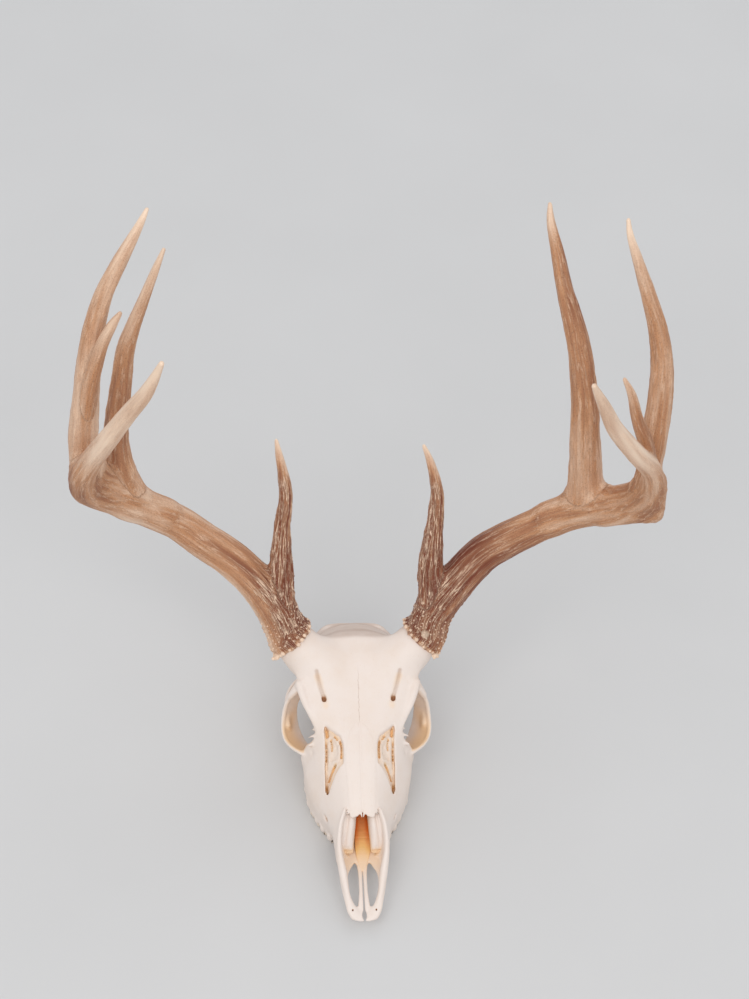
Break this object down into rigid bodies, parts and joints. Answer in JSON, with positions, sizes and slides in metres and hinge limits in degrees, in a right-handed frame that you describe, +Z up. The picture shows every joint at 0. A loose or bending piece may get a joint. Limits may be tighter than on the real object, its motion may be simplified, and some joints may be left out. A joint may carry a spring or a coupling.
{
  "type": "white-tailed deer skull with antlers",
  "caption": "Cleaned upper skull of an adult white-tailed deer with both branched antlers and no lower jaw, resting on its cheek teeth; a wall or shelf specimen.",
  "frame": {"origin": "centre of the whole piece's bounding box, on the surface it rests on", "axes": "+Z up; the nose points towards -Y; +X is the animal's own left"},
  "size_m": [0.4795, 0.3214, 0.5588],
  "materials": {
    "bone": "dry cream bone, matt, tan in the hollows",
    "enamel": "ivory tooth, slightly glossy",
    "antler": "brown ridged antler, polished pale towards the tips"
  },
  "bodies": {
    "root": {"cranium": "bone", "nasal_left": "bone", "nasal_right": "bone", "premaxilla_left": "bone", "premaxilla_right": "bone", "premolar_2_left": "enamel", "premolar_2_right": "enamel", "premolar_3_left": "enamel", "premolar_3_right": "enamel", "premolar_4_left": "enamel", "premolar_4_right": "enamel", "molar_1_left": "enamel", "molar_1_right": "enamel", "molar_2_left": "enamel", "molar_2_right": "enamel", "molar_3_left": "enamel", "molar_3_right": "enamel", "antler_left_beam": "antler", "antler_left_brow_tine": "antler", "antler_left_second_tine": "antler", "antler_left_third_tine": "antler", "antler_left_fourth_point": "antler", "antler_right_beam": "antler", "antler_right_brow_tine": "antler", "antler_right_second_tine": "antler", "antler_right_third_tine": "antler", "antler_right_fourth_point": "antler"}
  },
  "joints": []
}
